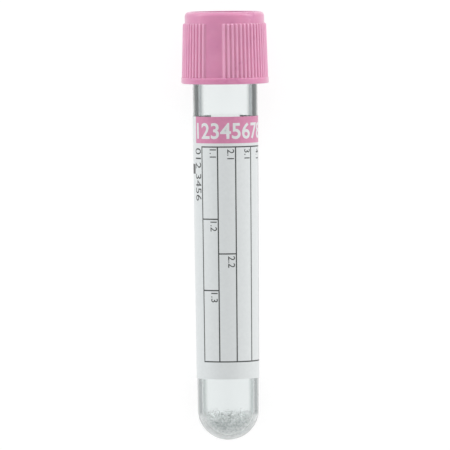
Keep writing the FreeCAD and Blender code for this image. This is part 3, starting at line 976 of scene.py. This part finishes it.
def make_additive():
    """Dried spray inside the rounded end: many fine droplets on the bore's wall, a few larger."""
    draw = np.random.default_rng(RANDOM_SEED)
    outside = END_RADIUS - WALL - DROPLET_GAP
    points, faces = [], []
    for _ in range(DROPLETS):
        size = draw.uniform(*(COARSE if draw.random() < COARSE_SHARE else FINE))
        high = DENSE_TO if draw.random() < DENSE_SHARE else COATING.high - DROPLETS_BELOW
        level = draw.uniform(COATING.low + DROPLETS_ABOVE, high)
        centre = Vector((0, 0, max(level, END_RADIUS)))
        radius = math.sqrt(max(outside ** 2 - (centre.z - level) ** 2, 0))
        seat = Vector(on_axis(radius, level, draw.uniform(0, 360)))
        faces += droplet_faces(len(points))
        points += droplet(seat, (centre - seat).normalized(), size)
    close_up(piece("additive_spray", points, faces, "tube_body", "additive_coating",
                   [SPRAY]))


# ---------------------------------------------------------------- floor, light and camera
FLOOR_SIZE = 8.0
FLOOR_WHITE = 0.9
SHADOW_SHARE = 0.25  # how much of its real shading the camera sees
FLOOR_GLOW = 0.83


def make_floor():
    """A white floor that the camera sees as white, with a share of its real shading on top."""
    mesh = bpy.data.meshes.new("floor")
    half = FLOOR_SIZE / 2
    mesh.from_pydata([(-half, -half, 0), (half, -half, 0), (half, half, 0), (-half, half, 0)], [],
                     [(0, 1, 2, 3)])
    floor = bpy.data.objects.new("floor", mesh)
    bpy.context.scene.collection.objects.link(floor)
    material = bpy.data.materials.new("floor_white")
    material.use_nodes = True
    tree = material.node_tree
    tree.nodes.clear()
    real = put(tree, "ShaderNodeBsdfDiffuse", Color=(*[FLOOR_WHITE] * 3, 1))
    shaded = put(tree, "ShaderNodeBsdfDiffuse", Color=(*[SHADOW_SHARE] * 3, 1))
    glow = put(tree, "ShaderNodeEmission", Color=(1, 1, 1, 1), Strength=FLOOR_GLOW)
    seen = put(tree, "ShaderNodeAddShader")
    connect(tree, seen.inputs[0], shaded.outputs[0])
    connect(tree, seen.inputs[1], glow.outputs[0])
    mixed = put(tree, "ShaderNodeMixShader")
    connect(tree, mixed.inputs[0], seen_rays(tree))
    connect(tree, mixed.inputs[1], real.outputs[0])
    connect(tree, mixed.inputs[2], seen.outputs[0])
    output = put(tree, "ShaderNodeOutputMaterial")
    connect(tree, output.inputs["Surface"], mixed.outputs[0])
    mesh.materials.append(material)


def seen_rays(tree):
    """1 for rays that show the background: the camera's, and those by way of gloss or glass."""
    path = put(tree, "ShaderNodeLightPath")
    seen = path.outputs["Is Camera Ray"]
    for name in ("Is Glossy Ray", "Is Transmission Ray"):
        seen = combine(tree, "MAXIMUM", seen, path.outputs[name])
    return seen


ZENITH, HORIZON = 0.70, 0.85  # how brightly the studio's ceiling and walls light the object
CEILING_FROM, CEILING_TO = 0.25, 0.75  # upward share of a direction, from the walls to the ceiling


def make_world():
    """A studio with white walls and a grey ceiling, which the camera, gloss and glass see as white."""
    world = bpy.data.worlds.new("studio")
    bpy.context.scene.world = world
    world.use_nodes = True
    tree = world.node_tree
    background = next(node for node in tree.nodes if node.type == "BACKGROUND")
    direction = put(tree, "ShaderNodeTexCoord").outputs["Generated"]
    height = put(tree, "ShaderNodeSeparateXYZ", Vector=direction).outputs["Z"]
    light = put(tree, "ShaderNodeMix", {"data_type": "FLOAT"})
    connect(tree, light.inputs[0], seen_rays(tree))
    connect(tree, light.inputs[2], spread(tree, height, CEILING_FROM, CEILING_TO, HORIZON, ZENITH))
    connect(tree, light.inputs[3], 1.0)
    connect(tree, background.inputs["Strength"], light.outputs[0])
    background.inputs["Color"].default_value = (1, 1, 1, 1)


def softbox(name, towards, distance, width, height, radiance, colour):
    """A soft lamp that faces the object from a direction in the row frame."""
    light = bpy.data.lights.new(name, "AREA")
    light.shape = "RECTANGLE"
    light.size = width
    light.size_y = height
    light.energy = radiance * math.pi * width * height
    light.color = colour
    lamp = bpy.data.objects.new(name, light)
    bpy.context.scene.collection.objects.link(lamp)
    away = Vector(towards).normalized()
    lamp.location = away * distance
    lamp.rotation_mode = "QUATERNION"
    lamp.rotation_quaternion = away.to_track_quat("Z", "Y")


LAMP_TOWARDS = (0.80, 0.56, 0.17)  # where the right lamp stands; the left one mirrors it
LAMP_DISTANCE = 1.0
LAMP_WIDTH, LAMP_HEIGHT = 0.9, 0.32
LAMPS = {  # by name: the side, the radiance and the colour
    "softbox_left": (-1, 3.9, (0.97, 0.99, 1.0)),
    "softbox_right": (1, 4.6, (1.0, 0.99, 0.98)),
}


def make_lights():
    """Two long softboxes low at the sides, turned towards the cap's end."""
    aside, along, up = LAMP_TOWARDS
    for name, (side, radiance, colour) in LAMPS.items():
        softbox(name, (aside * side, along, up), LAMP_DISTANCE, LAMP_WIDTH, LAMP_HEIGHT, radiance,
                colour)


CAMERA_DISTANCE = 1.6
CAMERA_RISE = 2.6  # degrees from square to the tube, towards the cap
CAMERA_ROLL = 0.58
VIEW_SIZE = 87.25  # millimetres across the picture, at the tube
AIM_HEIGHT = 41.72  # the middle of the picture, on the tube's axis
AIM_ASIDE = -0.29
SENSOR = 36.0
CLIP_START = 0.1


def make_camera():
    """A camera above the tube, a little towards the cap and slightly rolled."""
    data = bpy.data.cameras.new("camera")
    data.sensor_width = SENSOR
    data.lens = SENSOR * CAMERA_DISTANCE / (VIEW_SIZE * MM)
    data.clip_start = CLIP_START
    camera = bpy.data.objects.new("camera", data)
    bpy.context.scene.collection.objects.link(camera)
    bpy.context.scene.camera = camera
    tube = TUBE_FRAME.to_3x3()
    along = tube @ Vector((0, 0, 1))
    front = tube @ Vector((0, -1, 0))
    across = tube @ Vector((1, 0, 0))
    rise = math.radians(CAMERA_RISE)
    back = front * math.cos(rise) + along * math.sin(rise)
    roll = math.radians(CAMERA_ROLL)
    level = across * math.cos(roll) - back.cross(across) * math.sin(roll)
    up = back.cross(level)
    aim = TUBE_FRAME @ Vector((AIM_ASIDE * MM, 0, AIM_HEIGHT * MM))
    camera.matrix_world = Matrix.Translation(aim + back * CAMERA_DISTANCE) @ Matrix(
        (level, up, back)).transposed().to_4x4()


make_tube()
make_stopper()
make_cap()
make_ring()
make_label()
make_numbers()
make_additive()
make_floor()
make_world()
make_lights()
make_camera()
bpy.context.scene.view_settings.view_transform = "Standard"
